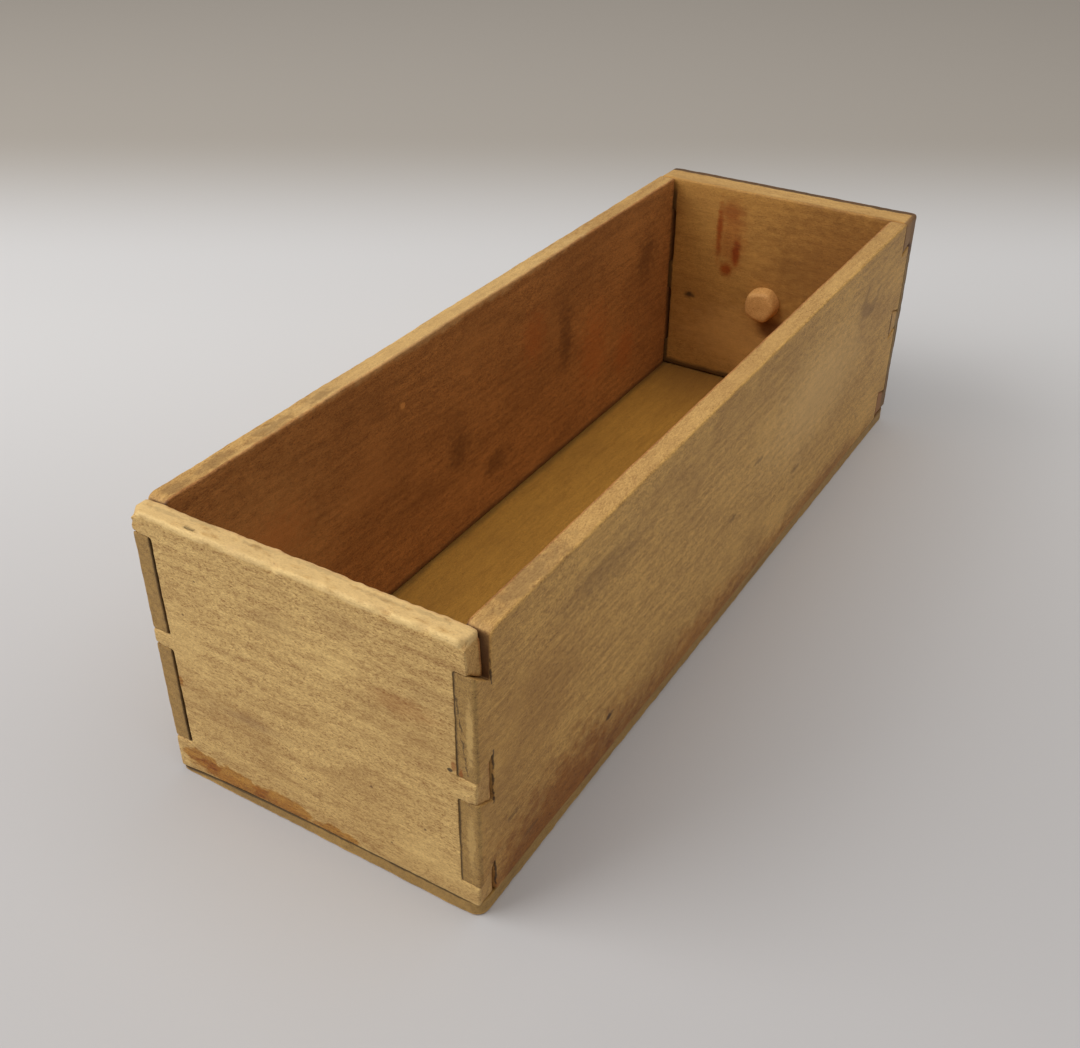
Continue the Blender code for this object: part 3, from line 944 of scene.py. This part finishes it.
def floor_wood():
    wood = Wood("bottom_wood", (1, 0, 2), BOTTOM_HIGH[2], lambda n: n.z, GREY_BROWN, OCHRE, END_GRAIN,
                seed=5.0, heart=(30.0, -60.0), weight=0.7)
    # Painted shade with dirt along the floor's edges beside the side walls.
    away = wood.minus(HALF - SIDE, wood.math("ABSOLUTE", wood.x))
    level = wood.plus(away, wood.swing(1.4, size=6.0, stretch=2.5, seed=5.5))
    wood.tint(wood.times(wood.fade(level, 3.6, 0.3), wood.is_inner), screen(60, 38, 16), 0.5)
    darken_seam(wood, -0.9, -0.35)
    to_front = wood.minus(Y_FRONT_IN, wood.y)
    wood.tint(wood.times(wood.fade(to_front, 40.0, 2.0), wood.is_inner), screen(112, 74, 38), 0.5)
    return wood


def front_wood():
    """Browner to the right of its inner face from painted shade and paler low on the left from painted
    light, with a smudge, a reddish run and the tenon's painted shadow below it.
    """
    wood = Wood("front_wood", (0, 1, 2), FRONT, lambda n: n.minus(Y_FRONT, n.y),
                TAN, CHESTNUT, TAN, seed=7.0, heart=(25.0, -30.0), weight=0.8)
    # Painted shade over the upper right of the inner face.
    wood.darken_patch(screen(200, 188, 180), 1.0, (30.0, Y_FRONT_IN, 62.0), (56.0, 3.0, 56.0), soft=0.85, seed=0.7)
    # Painted light over the lower left of the inner face.
    wood.tint_patch(screen(250, 196, 118), 0.3, (-10.0, Y_FRONT_IN, 26.0), (46.0, 3.0, 20.0), soft=0.9, seed=0.9)
    wood.tint_patch(GRIME_AND_SHADE, 0.8, (-34.9, Y_FRONT_IN, 40.0), (3.4, 3.0, 2.2), 0.7, 0.5, 1.7)
    red = screen(212, 148, 92)
    run = (
        (-23.5, 70.0, 2.0, 17.0, 0.9), (-15.6, 62.0, 2.6, 9.0, 1.0),
        (-19.5, 54.5, 4.2, 4.4, 1.0), (-19, 79, 7, 6, 0.5),
    )
    for x, z, width, height, strength in run:
        wood.darken_patch(red, strength, (x, Y_FRONT_IN, z), (width, 3.0, height), 0.8, 0.4, x)
    wood.darken_patch(red, 0.5, (-18.0, Y_FRONT_IN, 69.0), (9.0, 3.0, 19.0), 0.8, 0.5, 2.7)
    # The tenon's painted shadow on the board below it and to its right.
    wood.darken_patch(screen(150, 124, 104), 0.9, (3.0, Y_FRONT_IN, 33.0), (9.0, 3.0, 7.5), 0.7, 0.3, 3.7)
    return wood


def add_front_grime_and_shade(wood):
    """Dirt and painted shade in the dark gap down each inner corner, and in a line above the bottom."""
    rough_side = wood.plus(wood.math("ABSOLUTE", wood.x), wood.swing(0.5, size=3.0, seed=0.2))
    corner = wood.fade(rough_side, HALF - SIDE - 1.5, HALF - SIDE - 0.7)
    corner = wood.times(corner, wood.fade(wood.z, TOP - 1.0, TOP - 7.0))
    low = wood.plus(wood.z, wood.swing(0.9, size=4.0, stretch=2.5, seed=0.4))
    foot = wood.fade(low, FOOT + 3.4, FOOT + 1.6)
    # Painted shade with dirt in the inner corners and just above the bottom.
    wood.tint(wood.times(wood.math("MAXIMUM", corner, foot), wood.is_inner), GRIME_AND_SHADE, 0.72)


def add_front_finish(wood):
    """Old dark varnish on the show face, worn through at its edges, and spilt a little onto the ends."""
    level = wood.plus(wood.depth, wood.swing(1.0, size=4.0, stretch=1.5, detail=4.0, seed=4.7))
    top = wood.fade(wood.z, TOP - 2.0, TOP - 0.5, 0.0, 1.5)
    coat = wood.fade(wood.minus(level, top), 2.3, 1.2)
    streaks = wood.fade(wood.noise(9.0, 4.0, 4.0, seed=5.7), 0.4, 0.65)
    wood.tint(coat, wood.mix(streaks, screen(66, 48, 30), screen(92, 60, 34)), 0.92)
    end = wood.fade(wood.x, HALF - 1.6, HALF - 0.9)
    low = wood.times(end, wood.fade(wood.z, 30.0, 18.0))
    wood.tint(low, screen(140, 86, 48), 0.75)
    middle = wood.times(end, wood.fade(level, 7.0, 4.5))
    wood.tint(middle, screen(112, 92, 60), 0.7)
    high = wood.times(end, wood.fade(wood.z, 74.0, 78.0))
    wood.tint(high, screen(128, 92, 60), 0.7)
    wood.tint_patch(screen(84, 54, 56), 0.7, (HALF, Y_FRONT - 5.0, 75.0), (2.5, 5.0, 4.0), 0.6, 0.5, 6.7)


def knob_wood():
    """Turned wood: pale and whittled inside the drawer, dark and polished by hands outside."""
    return Wood("knob_wood", (1, 0, 2), FRONT, lambda n: n.minus(Y_FRONT, n.y),
                FINGERED, WHITTLED, TAN, seed=9.0, heart=(4.0, 30.0))


def rusted_iron():
    nodes = Nodes("rusted_iron", metallic=0.35)
    rust = nodes.fade(nodes.noise(0.5, detail=4.0, roughness=0.7), 0.35, 0.65)
    colour = nodes.mix(rust, screen(58, 50, 44), screen(104, 56, 28))
    return nodes.finish(colour, nodes.noise(0.3), relief=0.05)


# ---- assembly


def stand_for(piece, node, material):
    piece.data.materials.append(material)
    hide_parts(node)
    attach(piece, "root")


def build_drawer():
    wood = back_wood()
    add_back_marks(wood)
    darken_sockets(wood)
    darken_seam(wood, 0.75, 0.2)
    stand_for(build_back(), "back_board", wood.done())

    right = side_wood("right_side_wood", 1, 2.0)
    tails_end(right, BACK_RIGHT)
    add_right_marks(right)
    add_joint_marks(right)
    add_inner_grime_and_shade(right)
    board = build_side("right_side_worn", 1, BACK_RIGHT, FRONT_RIGHT, 31)
    stand_for(board, "right_side", right.done())

    left = side_wood("left_side_wood", -1, 3.0)
    tails_end(left, BACK_LEFT)
    add_inner_grime_and_shade(left)
    add_left_marks(left)
    board = build_side("left_side_worn", -1, BACK_LEFT, FRONT_LEFT, 41)
    stand_for(board, "left_side", left.done())

    front = front_wood()
    add_front_grime_and_shade(front)
    add_front_finish(front)
    stand_for(build_front(), "front_board", front.done())
    stand_for(build_bottom(), "bottom_board", floor_wood().done())
    stand_for(build_knob(), "pull_knob", knob_wood().done())

    iron = rusted_iron()
    for brad, node in build_brads():
        stand_for(brad, node, iron)


# ---- stage, lights and camera

# Metres, millimetres of lens and watts. The camera stands where a fit to the drawer's corners put it.
CAMERA_PLACE = (0.16868, -0.32795, 0.25732)
CAMERA_AZIMUTH = math.radians(31.30)
CAMERA_ELEVATION = math.radians(34.09)
CAMERA_ROLL = math.radians(0.25)
CAMERA_LENS = 42.07
FLOOR_REACH = 30.0
KEY_POWER, OVERHEAD_POWER = 13.5, 11.0
ROOM_GLOW, ROOM_STRENGTH = (1.0, 0.945, 0.89, 1.0), 0.32


def build_stage():
    """A pale paper floor with painted light brightening it to a little way behind the drawer, and painted
    shade darkening it beyond.
    """
    reach = FLOOR_REACH
    mesh = bpy.data.meshes.new("paper_floor")
    square = [(-reach, -reach, 0), (reach, -reach, 0), (reach, reach, 0), (-reach, reach, 0)]
    mesh.from_pydata(square, [], [(0, 1, 2, 3)])
    floor = bpy.data.objects.new("paper_floor", mesh)
    bpy.context.scene.collection.objects.link(floor)
    nodes = Nodes("pale_paper", roughness=0.9, specular=0.1)
    ahead = (-math.sin(CAMERA_AZIMUTH), math.cos(CAMERA_AZIMUTH), 0.0)
    away = nodes.measure("DOT_PRODUCT", nodes.place, ahead)
    # Painted light up to about 200 mm past the drawer's middle, then painted shade from 250 to 480 mm.
    colour = nodes.mix(nodes.fade(away, -150.0, 200.0), screen(196, 195, 196), screen(220, 220, 221))
    colour = nodes.mix(nodes.fade(away, 250.0, 480.0), colour, screen(182, 176, 168))
    floor.data.materials.append(nodes.finish(colour, nodes.noise(1.2), relief=0.05, strength=0.2))


def add_light(name, place, target, size, power, colour):
    light = bpy.data.lights.new(name, "AREA")
    light.shape = "RECTANGLE"
    light.size, light.size_y = size
    light.energy = power
    light.color = colour
    lamp = bpy.data.objects.new(name, light)
    lamp.location = place
    lamp.rotation_euler = (Vector(target) - Vector(place)).to_track_quat("-Z", "Y").to_euler()
    bpy.context.scene.collection.objects.link(lamp)


def build_lights():
    add_light("key", (-0.80, -0.85, 1.0), (0.0, 0.0, 0.03), (1.1, 1.1), KEY_POWER, (1.0, 0.995, 0.985))
    add_light("overhead", (0.35, -0.1, 1.6), (0.0, 0.0, 0.0), (1.8, 1.8), OVERHEAD_POWER, (1.0, 0.985, 0.97))
    world = bpy.data.worlds.new("soft_room")
    world.use_nodes = True
    background = world.node_tree.nodes["Background"]
    background.inputs["Color"].default_value = ROOM_GLOW
    background.inputs["Strength"].default_value = ROOM_STRENGTH
    bpy.context.scene.world = world


def build_camera():
    data = bpy.data.cameras.new("photo_view")
    data.sensor_width = 36.0
    data.lens = CAMERA_LENS
    data.clip_start = 0.01
    camera = bpy.data.objects.new("photo_view", data)
    heading = Matrix.Translation(CAMERA_PLACE) @ Matrix.Rotation(CAMERA_AZIMUTH, 4, "Z")
    tilt = Matrix.Rotation(math.pi / 2 - CAMERA_ELEVATION, 4, "X") @ Matrix.Rotation(CAMERA_ROLL, 4, "Z")
    camera.matrix_world = heading @ tilt
    bpy.context.scene.collection.objects.link(camera)
    bpy.context.scene.camera = camera


bpy.context.scene.view_settings.view_transform = "Standard"
build_drawer()
build_stage()
build_lights()
build_camera()
